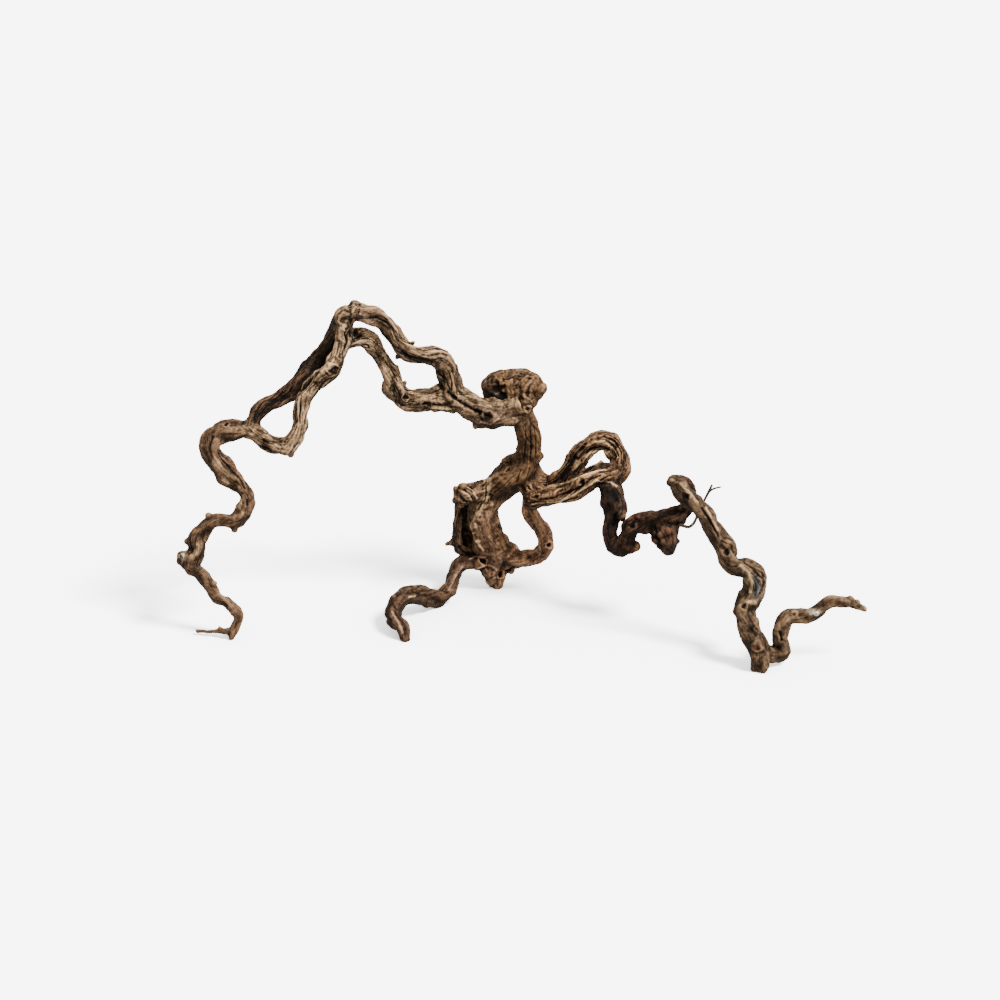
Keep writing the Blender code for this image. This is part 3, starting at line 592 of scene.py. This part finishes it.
# Pale worn ridges, splinters and patches, written in the same way
for path, width, height, stain_and_shade, strength in [
        ([(497, 374), (505, 372), (515, 371), (528, 372), (537, 376)], 3.0, 0.6, TAN, 0.5),
        ([(531, 382), (526, 386), (524, 392), (524, 398)], 1.6, 1.0, TAN, 0.5),
        ([(543, 386), (544, 392)], 3.0, 0.6, STRAW, 0.7),
        ([(458, 388), (470, 396), (485, 403), (505, 405), (521, 403)], 4.0, 0.5, CREAM, 0.3),
        ([(481, 422), (490, 424), (499, 418)], 1.6, 1.2, ROSE, 0.7),
        ([(431, 408), (443, 409), (455, 408)], 1.2, 1.0, CREAM, 0.6),
        ([(488, 480), (488, 491), (485, 501), (480, 511), (475, 520), (472, 527)], 4.4, 2.2,
         CREAM, 0.5),
        ([(486, 486), (485, 498), (478, 510)], 0.9, -1.4, UMBER, 0.8),
        ([(472, 530), (474, 536), (477, 542)], 3.2, 1.0, CREAM, 0.65),
        ([(477, 541), (480, 546), (484, 551)], 1.4, 1.0, CREAM, 0.7),
        ([(485, 501), (480, 512), (474, 524)], 5.0, 0.6, CREAM, 0.35),
        ([(488, 522), (490, 545), (498, 560), (496, 580)], 15.0, 0, BASE_BROWN, 0.7),
        ([(499, 533), (502, 543), (504, 553)], 4.5, 2.0, WALNUT, 0.3),
        ([(366, 334), (377, 346), (386, 360), (394, 376), (400, 388)], 3.0, 0.5, CREAM, 0.35),
        ([(411, 393), (425, 396), (442, 397)], 2.5, 0.5, CREAM, 0.35),
        ([(467, 487), (473, 491), (478, 499)], 1.5, 0.8, CREAM, 0.45),
        ([(459, 490), (467, 494), (473, 503)], 1.5, 0.8, CREAM, 0.45),
        ([(455, 497), (459, 501)], 2.0, 0.6, CREAM, 0.4),
        ([(470, 559), (478, 556), (486, 557)], 1.4, 1.0, ROSE, 0.7),
        ([(478, 568), (486, 565), (492, 566), (497, 570)], 1.6, 1.0, ROSE, 0.7),
        ([(573, 470), (582, 461), (590, 453), (598, 450)], 1.4, 1.0, CREAM, 0.6),
        ([(585, 446), (594, 442), (604, 441), (613, 448), (618, 458)], 1.5, 1.0, CREAM, 0.5),
        ([(548, 486), (562, 484), (575, 479), (590, 474), (605, 469)], 1.5, 1.0, CREAM, 0.65),
        ([(532, 504), (546, 502), (560, 501), (572, 496), (586, 487), (596, 480), (610, 482),
          (617, 487)], 1.4, 1.4, CREAM, 0.75),
        ([(384, 314), (397, 331), (408, 345), (425, 350), (440, 353), (450, 369)], 2.5, 0.6,
         CREAM, 0.3),
        ([(345, 331), (342, 349), (331, 364), (315, 378), (300, 398), (297, 420)], 1.8, 0.7,
         CREAM, 0.35),
        ([(224, 480), (226, 484)], 3.0, 0.2, CREAM, 0.6),
        ([(217, 462), (226, 472), (236, 484), (241, 495)], 3.0, 0.3, CREAM, 0.3),
        ([(241, 500), (240, 507), (243, 514)], 2.2, 0.3, CREAM, 0.35),
        ([(230, 428), (244, 427), (256, 433), (266, 440)], 2.4, 0.3, CREAM, 0.3),
        ([(197, 546), (197, 556)], 3.2, 0.3, CREAM, 0.4),
        ([(186, 556), (191, 558)], 4.0, 1.6, BROWN, 0.3),
        ([(449, 590), (456, 575), (463, 566)], 1.6, 0.6, ROSE, 0.5),
        ([(392, 612), (398, 622), (403, 633)], 1.6, 0.6, ROSE, 0.5),
        ([(409, 597), (416, 596)], 1.0, 0.6, CREAM, 0.6),
        ([(626, 520), (636, 517), (644, 519)], 2.0, 0.6, RED_BROWN, 0.5),
        ([(667, 530), (666, 536)], 3.0, 0.4, RED_BROWN, 0.3),
        ([(618, 541), (628, 548), (637, 549)], 3.0, 0.4, RED_BROWN, 0.4),
        ([(672, 480), (682, 485), (690, 494), (698, 503)], 2.0, 0.8, CREAM, 0.3),
        ([(706, 508), (713, 521), (718, 531)], 1.2, 0.8, CREAM, 0.5),
        ([(741, 566), (749, 573), (752, 583), (750, 593)], 2.0, 0.8, CREAM, 0.45),
        ([(755, 578), (758, 588), (755, 596)], 3.0, -0.8, SLATE, 0.9),
        ([(749, 602), (755, 603)], 2.5, 0.6, CREAM, 0.8),
        ([(183, 556), (184, 560)], 2.2, 0.3, FUNGUS, 0.9),
        ([(814, 613), (818, 613)], 2.6, 0.3, FUNGUS, 1.0),
        ([(866, 608), (867, 609)], 2.0, 0, CREAM, 0.9)]:
    scar(path, width, height, stain_and_shade, strength)

# The grain. Each point of the skin is measured along and around the limbs near it, so
# that the furrows can run along the wood, twist with it and pass round its knots.
LINE_STEP = 1.0 * MM
TWIST_PER_METRE = 5.0
BLEND_REACH = 0.55
SEARCH_REACH = 1.8
FAINTEST = 0.001
BLOCK = 4000


def smooth_line(points, radii):
    """Thread a smooth line through a limb's points, with its radius at each step."""
    padded = np.vstack([2 * points[0] - points[1], points, 2 * points[-1] - points[-2]])
    wide = np.concatenate([[radii[0]], radii, [radii[-1]]])
    line, girth = [], []
    for count in range(1, len(padded) - 2):
        before, start, end, after = padded[count - 1:count + 3]
        steps = max(2, int(np.linalg.norm(end - start) / LINE_STEP))
        for step in range(steps):
            t = step / steps
            line.append(0.5 * (2 * start + (end - before) * t
                               + (2 * before - 5 * start + 4 * end - after) * t * t
                               + (3 * start - before - 3 * end + after) * t ** 3))
            girth.append(wide[count] * (1 - t) + wide[count + 1] * t)
    line.append(padded[-2])
    girth.append(wide[-1])
    return np.array(line), np.array(girth)


def carried_frames(line):
    """Carry two cross directions along a line without turning about it."""
    ahead = np.gradient(line, axis=0)
    ahead /= np.linalg.norm(ahead, axis=1)[:, None]
    first = np.cross(ahead[0], (0.0, 1.0, 0.0))
    first /= np.linalg.norm(first)
    sides = [first]
    for count in range(1, len(line)):
        side = sides[-1] - ahead[count] * np.dot(sides[-1], ahead[count])
        sides.append(side / np.linalg.norm(side))
    sides = np.array(sides)
    return ahead, sides, np.cross(ahead, sides)


def measured(points, radii):
    """Measure the skin near one limb: which points, how far along, around and out."""
    line, girth = smooth_line(points, radii)
    ahead, side, other = carried_frames(line)
    length = np.concatenate([[0], np.cumsum(np.linalg.norm(np.diff(line, axis=0), axis=1))])
    spare = girth.max() * SEARCH_REACH
    near = np.all((bent > line.min(0) - spare) & (bent < line.max(0) + spare), axis=1)
    near = np.flatnonzero(near)
    closest = np.empty(len(near), "i8")
    for start in range(0, len(near), BLOCK):
        block = bent[near[start:start + BLOCK]]
        gaps = ((block[:, None, :] - line[None, :, :]) ** 2).sum(2)
        closest[start:start + BLOCK] = (gaps / girth[None, :] ** 0.5).argmin(1)
    offset = bent[near] - line[closest]
    along = length[closest] + (offset * ahead[closest]).sum(1)
    across_a = (offset * side[closest]).sum(1)
    across_b = (offset * other[closest]).sum(1)
    past = np.linalg.norm(offset, axis=1) / girth[closest]
    weight = np.clip(1 - (np.maximum(past, 1.0) - 1) / BLEND_REACH, 0, 1) ** 2
    keep = weight > FAINTEST
    angle = np.arctan2(across_b, across_a)
    return near[keep], along[keep], angle[keep], girth[closest][keep], weight[keep]


# The bark. Broad soft folds run along every limb, a few deep grooves part them where
# the wood has dried and split, and fine lines cover them; where limbs meet they fade
# into one another. Burl, knuckle, stub and knobs have short wild grain instead.
FOLD_SIZE = (9 * MM, 9 * MM, 70 * MM)
FOLD_HEIGHT = 1.3 * MM
GROOVE_SIZE = (8 * MM, 8 * MM, 120 * MM)
GROOVE_DEPTH = 1.7 * MM
GROOVE_SHARPNESS = 0.07
OPEN_SIZE = (15 * MM, 15 * MM, 50 * MM)
OPEN_SHARE = 0.1
OPEN_GAIN = 1.8
LINE_SIZE = (2.4 * MM, 2.4 * MM, 36 * MM)
LINE_DEPTH = 0.32 * MM
FULL_GIRTH = 10 * MM
GIRTH_RANGE = (0.25, 1.15)
SHIFT_PER_LIMB = 7.31
UNCLAIMED = 0.05
WANDER = 2.5 * MM
WANDER_SIZE = 18 * MM
WILD_SIZE = (11 * MM, 11 * MM, 18 * MM)
WILD_HEIGHT = 1.2 * MM
CRACK_SIZE = 12 * MM
CRACK_DEPTH = 0.9 * MM
CRACK_SHARPNESS = 0.06
CRACK_GAIN = 1.5
GRIT_SIZE = (3 * MM, 3 * MM, 5 * MM)
GRIT_HEIGHT = 0.4 * MM
WILD_SHARE = 0.75
# How pale the wood is worn, and what each kind of grain adds
MIDDLE_WEAR = 0.5
FOLD_WEAR = 0.4
LINE_WEAR = 0.35
WILD_WEAR = 0.25
GRIT_WEAR = 0.4
WORN_SHARE = 0.8
CRACK_DARKNESS = 0.8
# Painted shade of small creases and broad hollows: how deep each is read, how far smoothed
CREASE_SHADE_DEPTH = 0.25 * MM
CREASE_SHADE_ROUNDS = 4
FOLD_SHADE_DEPTH = 1.6 * MM
FOLD_SHADE_ROUNDS = 26
# Painted light and shade: wood painted lighter facing the light, darker turned away from it
FACING_LIGHT_ROUNDS = 10
PAINTED_LIGHT_GAIN = 0.75
PAINTED_LIGHT_BASE = 0.94
PAINTED_LIGHT_FROM = (0.25, -0.3, 0.92)
# Places of wild grain: where they are, how far they reach and how strong they are
GNARLS = [
    ((513, 384, 136), 33, 0.9), ((524, 406, 118), 13, 0.4), ((489, 574, 145), 20, 1.0),
    ((460, 494, 112), 13, 0.9), ((666, 538, 42), 18, 0.8), ((186, 557, 23), 11, 0.8),
    ((631, 547, 55), 12, 0.5), ((757, 660, -75), 16, 0.6), ((436, 406, 98), 12, 0.6)]

wander = np.stack([noise(places / WANDER_SIZE, seed) for seed in (11, 12)], axis=1) * WANDER
carved = np.zeros(len(places))
strand = np.zeros(len(places))
furrow = np.zeros(len(places))
bold = np.zeros(len(places))
tone = np.zeros((len(places), 3))
grain = np.zeros((len(places), 3))
heaviest = np.zeros(len(places))
weights = np.zeros(len(places))
for order, (name, (points, radii, limb_tone, furrows)) in enumerate(limbs.items()):
    near, along, angle, girth, weight = measured(points, radii)
    turned = angle + TWIST_PER_METRE * along
    straight = np.stack([girth * np.cos(turned), girth * np.sin(turned), along], axis=1)
    straight[:, :2] += wander[near]
    shift = order * SHIFT_PER_LIMB
    folds = noise(straight / FOLD_SIZE + shift, 21)
    fine = noise(straight / LINE_SIZE + shift, 22)
    split = noise(straight / GROOVE_SIZE + shift, 24)
    open_here = np.clip(OPEN_SHARE + OPEN_GAIN * noise(straight / OPEN_SIZE + shift, 23), 0, 1)
    scale = np.clip(girth / FULL_GIRTH, *GIRTH_RANGE) * furrows
    groove = np.exp(-(split / GROOVE_SHARPNESS) ** 2) * open_here
    depth = scale * (FOLD_HEIGHT * folds - GROOVE_DEPTH * groove)
    depth += np.sqrt(scale) * LINE_DEPTH * fine
    carved[near] += weight * depth
    strand[near] += weight * (MIDDLE_WEAR + furrows * (FOLD_WEAR * folds + LINE_WEAR * fine))
    bold[near] += weight * furrows
    furrow[near] += weight * groove * min(1, furrows)
    tone[near] += weight[:, None] * np.array(limb_tone)
    weights[near] += weight
    stronger = weight > heaviest[near]
    grain[near[stronger]] = straight[stronger]
    heaviest[near[stronger]] = weight[stronger]
bare = weights < UNCLAIMED
weights[bare] = 1
for layer in (carved, strand, furrow, bold, tone.T):
    layer /= weights
strand[bare] = MIDDLE_WEAR
tone[bare] = WALNUT
grain[bare] = places[bare]

gnarl = np.zeros(len(places))
for place, reach, strength in GNARLS:
    middle = np.array(sighted(*place)[0])
    out = np.linalg.norm(places - middle, axis=1) / (reach * MM)
    gnarl = np.maximum(gnarl, strength * np.exp(-out ** 4))
warped = places + wander.mean(1)[:, None]
wild = noise(warped / WILD_SIZE, 41)
grit = noise(warped / GRIT_SIZE, 42)
cracks = np.clip(OPEN_SHARE + CRACK_GAIN * noise(warped / CRACK_SIZE, 43), 0, 1)
cracks *= np.exp(-(wild / CRACK_SHARPNESS) ** 2)
wild_depth = WILD_HEIGHT * wild - CRACK_DEPTH * cracks + GRIT_HEIGHT * grit
carved = carved * (1 - WILD_SHARE * gnarl) + wild_depth * gnarl
wild_wear = MIDDLE_WEAR + WILD_WEAR * wild + GRIT_WEAR * grit
strand = strand * (1 - WORN_SHARE * gnarl) + wild_wear * WORN_SHARE * gnarl
furrow = furrow * (1 - gnarl) + cracks * gnarl * CRACK_DARKNESS
for amount, stain_and_shade in stains_and_shades:
    tone += (np.array(stain_and_shade) - tone) * np.clip(amount, 0, 1)[:, None]
places += normals * (carved + rise)[:, None]
places[:, 2] = np.maximum(places[:, 2], 0)
write_places(places)

# Painted shade: bark painted darker in the skin's creases and broad hollows, lighter on crests
normals = read_vectors(vine.data.vertex_normals, "vector")
close_by = spread(places, CREASE_SHADE_ROUNDS)
painted_crease_shade = ((close_by - places) * normals).sum(1) / CREASE_SHADE_DEPTH
wide_by = spread(close_by, FOLD_SHADE_ROUNDS)
painted_fold_shade = ((wide_by - places) * normals).sum(1) / FOLD_SHADE_DEPTH
# Painted light and shade: lighter where the skin faces the light, darker on undersides
light_facing = spread(normals, FACING_LIGHT_ROUNDS) @ np.array(PAINTED_LIGHT_FROM)
tone *= (PAINTED_LIGHT_BASE + PAINTED_LIGHT_GAIN * light_facing)[:, None]


def keep_on_skin(name, values, kind):
    """Keep a number, a direction or a colour on every point of the skin."""
    layer = vine.data.attributes.new(name, kind, "POINT")
    if kind == "FLOAT":
        layer.data.foreach_set("value", values.astype("f4"))
    elif kind == "FLOAT_VECTOR":
        layer.data.foreach_set("vector", values.astype("f4").ravel())
    else:
        full = np.hstack([values, np.ones((len(values), 1))])
        layer.data.foreach_set("color", full.astype("f4").ravel())


keep_on_skin("grain", grain, "FLOAT_VECTOR")
keep_on_skin("strand", strand, "FLOAT")
keep_on_skin("furrow", furrow, "FLOAT")
keep_on_skin("bold", np.clip(bold, 0, 1), "FLOAT")
keep_on_skin("painted_crease_shade", np.clip(painted_crease_shade, -1, 1), "FLOAT")
keep_on_skin("painted_fold_shade", np.clip(painted_fold_shade, -1, 1), "FLOAT")
keep_on_skin("tone", tone, "FLOAT_COLOR")

DULLNESS = 0.72
SHEEN = 0.15
RELIEF = 1.8 * MM
RELIEF_STRENGTH = 0.8
LINE_EDGE = 0.03
DARKEST = 0.17
# The colour that each level of wear and painted shade multiplies the wood's own tone with
WEAR_AND_SHADE = [
    (0.0, (0.02, 0.016, 0.013)), (0.20, (0.13, 0.11, 0.09)), (0.42, (0.62, 0.58, 0.52)),
    (0.62, (1.6, 1.52, 1.38)), (0.9, (3.4, 3.2, 2.8))]


def surfaced(name, values):
    """Make a material whose surface has these values."""
    made = bpy.data.materials.new(name)
    made.use_nodes = True
    shader = made.node_tree.nodes["Principled BSDF"]
    for label, value in values.items():
        shader.inputs[label].default_value = value
    return made


def wood_finish(name):
    """Make bark with pale worn ridges, dark furrows, fine grain, painted shade and a dull
    surface.
    """
    made = surfaced(name, {"Metallic": 0, "Specular IOR Level": SHEEN, "Roughness": DULLNESS})
    nodes, links = made.node_tree.nodes, made.node_tree.links
    shader = nodes["Principled BSDF"]

    def read(label, output="Fac"):
        node = nodes.new("ShaderNodeAttribute")
        node.attribute_name = label
        return node.outputs[output]

    def fill(sockets, values):
        for socket, value in zip(sockets, values):
            if isinstance(value, (int, float)):
                socket.default_value = value
            else:
                links.new(value, socket)

    def maths(kind, first, second, clamp=False):
        node = nodes.new("ShaderNodeMath")
        node.operation = kind
        node.use_clamp = clamp
        fill(node.inputs, (first, second))
        return node.outputs[0]

    def streaks(width, stretch, detail):
        place = nodes.new("ShaderNodeMapping")
        place.inputs["Scale"].default_value = (1 / width, 1 / width, 1 / (width * stretch))
        links.new(read("grain", "Vector"), place.inputs["Vector"])
        texture = nodes.new("ShaderNodeTexNoise")
        texture.inputs["Scale"].default_value = 1.0
        texture.inputs["Detail"].default_value = detail
        links.new(place.outputs[0], texture.inputs["Vector"])
        return maths("SUBTRACT", texture.outputs["Fac"], 0.5)

    fine = streaks(1.4 * MM, 20, 2)
    broad = streaks(3.6 * MM, 16, 2)
    patches = streaks(14 * MM, 3, 2)
    specks = streaks(1.3 * MM, 1.6, 1)
    closeness = maths("DIVIDE", maths("ABSOLUTE", streaks(6 * MM, 14, 1), 0), LINE_EDGE)
    lines = maths("SUBTRACT", 1, closeness, True)
    rough = maths("ADD", maths("MULTIPLY", read("bold"), 0.65), 0.25)
    # The level rises with pale wear and grain and falls in the painted shade of creases and
    # hollows
    level = DARKEST
    for pattern, strength in [
            (read("strand"), 0.55), (maths("MULTIPLY", broad, read("bold")), 0.65),
            (fine, rough), (specks, maths("ADD", rough, 0.1)),
            (patches, maths("MULTIPLY", rough, 0.4)), (lines, maths("MULTIPLY", rough, -0.25)),
            (read("painted_crease_shade"), -0.28), (read("painted_fold_shade"), -0.38), (read("furrow"), -0.4)]:
        level = maths("ADD", level, maths("MULTIPLY", pattern, strength))
    ramp = nodes.new("ShaderNodeValToRGB")
    links.new(level, ramp.inputs[0])
    stops = ramp.color_ramp.elements
    stops.remove(stops[1])
    for position, colour in WEAR_AND_SHADE:
        stop = stops.new(position) if position else stops[0]
        stop.color = (*colour, 1)
    tint = nodes.new("ShaderNodeMix")
    tint.data_type = "RGBA"
    tint.blend_type = "MULTIPLY"
    fill([socket for socket in tint.inputs if socket.enabled],
         (1, read("tone", "Color"), ramp.outputs["Color"]))
    tinted = next(socket for socket in tint.outputs if socket.enabled)
    links.new(tinted, shader.inputs["Base Color"])
    relief = maths("SUBTRACT", maths("ADD", fine, broad), maths("MULTIPLY", lines, 0.3))
    bump = nodes.new("ShaderNodeBump")
    bump.inputs["Strength"].default_value = RELIEF_STRENGTH
    bump.inputs["Distance"].default_value = RELIEF
    links.new(maths("MULTIPLY", relief, rough), bump.inputs["Height"])
    links.new(bump.outputs[0], shader.inputs["Normal"])
    return made


bark = wood_finish("vine_bark")

# The forks. The skin is parted at every main fork, square across the wood, and each
# end is closed, so that every limb is a piece of its own.
SLICE = 3 * MM
CUT_SLACK = 1e-7
# Each cut: its limb, the station where it lies and how many radii it reaches out
FORKS = [
    ("thick_arm", 2.5, 1.6), ("upper_strand", 1.8, 1.6), ("upper_strand", 11.9, 1.6),
    ("lower_strand", 1.6, 1.6), ("lower_strand", 11.3, 1.6), ("back_strand", 2.5, 1.6),
    ("back_strand", 9.0, 1.6), ("left_leg", 1.5, 1.6), ("left_twig", 1.8, 2.0),
    ("front_leg", 2.2, 1.7), ("ring_limb", 3.6, 1.7), ("ring_limb", 9.3, 1.6),
    ("loop_back", 1.4, 1.7), ("loop_back", 9.5, 1.6), ("loop_front", 2.8, 1.6),
    ("loop_front", 6.7, 1.6), ("hanging_limb", 14.5, 1.6), ("right_tip", 1.3, 2.1)]
# Each piece is found by a station of a limb that lies inside it
PIECES = {
    "trunk": ("trunk", 8), "thick_arm": ("thick_arm", 4),
    "arm_upper_strand": ("upper_strand", 6), "arm_lower_strand": ("lower_strand", 7),
    "arm_front_strand": ("front_strand", 8), "arm_back_strand": ("back_strand", 5),
    "left_leg": ("left_leg", 15), "left_twig": ("left_twig", 4),
    "front_leg": ("front_leg", 8), "ring_limb": ("ring_limb", 6),
    "loop_back_strand": ("loop_back", 6), "loop_front_strand": ("loop_front", 5),
    "hanging_limb": ("hanging_limb", 9), "right_leg": ("right_leg", 9),
    "right_tip": ("right_tip", 8)}


def closed_loops(cut_edges):
    """Leave out the cut edges that end in the skin and don't run round a limb."""
    kept = set(cut_edges)
    ends = kept
    while ends:
        ends = {edge for edge in kept for vert in edge.verts
                if sum(other in kept for other in vert.link_edges) < 2}
        kept -= ends
    return [edge for edge in cut_edges if edge in kept]


shape = bmesh.new()
shape.from_mesh(vine.data)
centres = read_vectors(vine.data.polygons, "center")
skin_faces = list(shape.faces)
for name, station, reach in FORKS:
    points, radii = limbs[name][:2]
    first = int(station)
    share = station - first
    middle = points[first] * (1 - share) + points[first + 1] * share
    direction = points[first + 1] - points[first]
    direction /= np.linalg.norm(direction)
    radius = (radii[first] * (1 - share) + radii[first + 1] * share) * reach
    offset = centres - middle
    height = offset @ direction
    out = np.linalg.norm(offset - height[:, None] * direction, axis=1)
    around = {}
    for index in np.flatnonzero((np.abs(height) < SLICE) & (out < radius)):
        face = skin_faces[index]
        if face.is_valid:
            around.update(dict.fromkeys([face, *face.edges, *face.verts]))
    cut = bmesh.ops.bisect_plane(
        shape, geom=list(around), dist=CUT_SLACK, plane_co=middle, plane_no=direction)
    rim = [thing for thing in cut["geom_cut"] if isinstance(thing, bmesh.types.BMEdge)]
    bmesh.ops.split_edges(shape, edges=closed_loops(rim))
    rim = [edge for edge in shape.edges if edge.is_boundary]
    for face in bmesh.ops.holes_fill(shape, edges=rim)["faces"]:
        for edge in face.edges:
            edge.smooth = False
shape.to_mesh(vine.data)
shape.free()

bpy.ops.object.select_all(action="DESELECT")
vine.select_set(True)
bpy.context.view_layer.objects.active = vine
bpy.ops.mesh.separate(type="LOOSE")
bodies = {}
for body in bpy.context.selected_objects:
    bodies[body] = read_vectors(body.data.vertices, "co")
named = set()
for name, (limb, station) in PIECES.items():
    mark = limbs[limb][0][station]
    body = min(bodies, key=lambda b: ((bodies[b] - mark) ** 2).sum(1).min())
    if body in named:
        print(name, "is still joined to", body.name)
        continue
    named.add(body)
    body.name = name + "_bark"
    body.data.materials.clear()
    body.data.materials.append(bark)
    body.data.shade_smooth()
    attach(body, "root")
    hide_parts(name)
for crumb in set(bodies) - named:
    bpy.data.objects.remove(crumb)

# The tendril. A dry, wiry shoot that springs from the hanging knob, passes behind the
# right leg and forks; its two strands are swept round and united.
TENDRIL_BROWN = (0.11, 0.070, 0.041)
TENDRIL_DULLNESS = 0.6
TENDRIL_RADIUS = 1.8 * MM
TENDRIL_TAPER = 0.35
TENDRIL = [
    (674, 522, 44), (680, 525, 37), (684, 526, 33), (688, 527, 30), (692, 525, 27),
    (695, 521, 24), (697, 516, 21), (700, 509, 18), (704, 501, 16), (708, 493, 15),
    (712, 485, 14)]
TENDRIL_FORK = [(706, 497, 15.5), (710, 491, 13), (716, 488, 11), (721, 487, 10)]
shoots = []
for stations, widest in ((TENDRIL, 1.0), (TENDRIL_FORK, 0.75)):
    count = len(stations)
    tapered = [
        (*station, widest - TENDRIL_TAPER * index / count)
        for index, station in enumerate(stations)]
    shoots.append(swept(tapered, thickness=TENDRIL_RADIUS))
tendril, branch = shoots
united = tendril.modifiers.new("united", "BOOLEAN")
united.operation = "UNION"
united.object = branch
bpy.context.view_layer.objects.active = tendril
bpy.ops.object.modifier_apply(modifier=united.name)
bpy.data.objects.remove(branch)
tendril.name = "tendril_shoot"
straw = surfaced("tendril_straw", {
    "Base Color": (*TENDRIL_BROWN, 1), "Roughness": TENDRIL_DULLNESS})
tendril.data.materials.clear()
tendril.data.materials.append(straw)
tendril.data.shade_smooth()
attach(tendril, "root")
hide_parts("tendril")

# The floor, the light and the camera. A white floor that shows shadows but sends no light
# back up to the wood, one soft sun from the front right and a white room all round; the
# camera stands where the limbs were sighted from.
FLOOR_SIZE = 14
FLOOR_WHITE = (4.8, 4.8, 4.8)
SUN_FROM = Vector((0.115, -0.085, 0.172))
SUN_STRENGTH = 3.6
SUN_WIDTH = math.radians(17)
ROOM_STRENGTH = 0.66
SENSOR_WIDTH = 36
SIGHT_RANGE = 30

bpy.ops.mesh.primitive_plane_add(size=FLOOR_SIZE, location=(0, 0, 0))
floor = bpy.context.object
floor.name = "floor"
floor.data.materials.append(surfaced("floor_paint", {
    "Base Color": (*FLOOR_WHITE, 1), "Roughness": 1.0, "Specular IOR Level": 0}))
floor.visible_diffuse = False
floor.visible_glossy = False

bpy.ops.object.light_add(type="SUN", location=SUN_FROM * 10)
sun = bpy.context.object
sun.rotation_mode = "QUATERNION"
sun.rotation_quaternion = SUN_FROM.to_track_quat("Z", "Y")
sun.data.energy = SUN_STRENGTH
sun.data.angle = SUN_WIDTH
room = bpy.data.worlds.new("room")
room.use_nodes = True
sky = room.node_tree.nodes["Background"]
sky.inputs["Color"].default_value = (1, 1, 1, 1)
sky.inputs["Strength"].default_value = ROOM_STRENGTH
bpy.context.scene.world = room

bpy.ops.object.camera_add(location=EYE, rotation=(math.pi / 2 - EYE_TILT, 0, 0))
camera = bpy.context.object
camera.data.sensor_width = SENSOR_WIDTH
camera.data.lens = SENSOR_WIDTH * EYE_DISTANCE
camera.data.clip_end = SIGHT_RANGE
bpy.context.scene.camera = camera
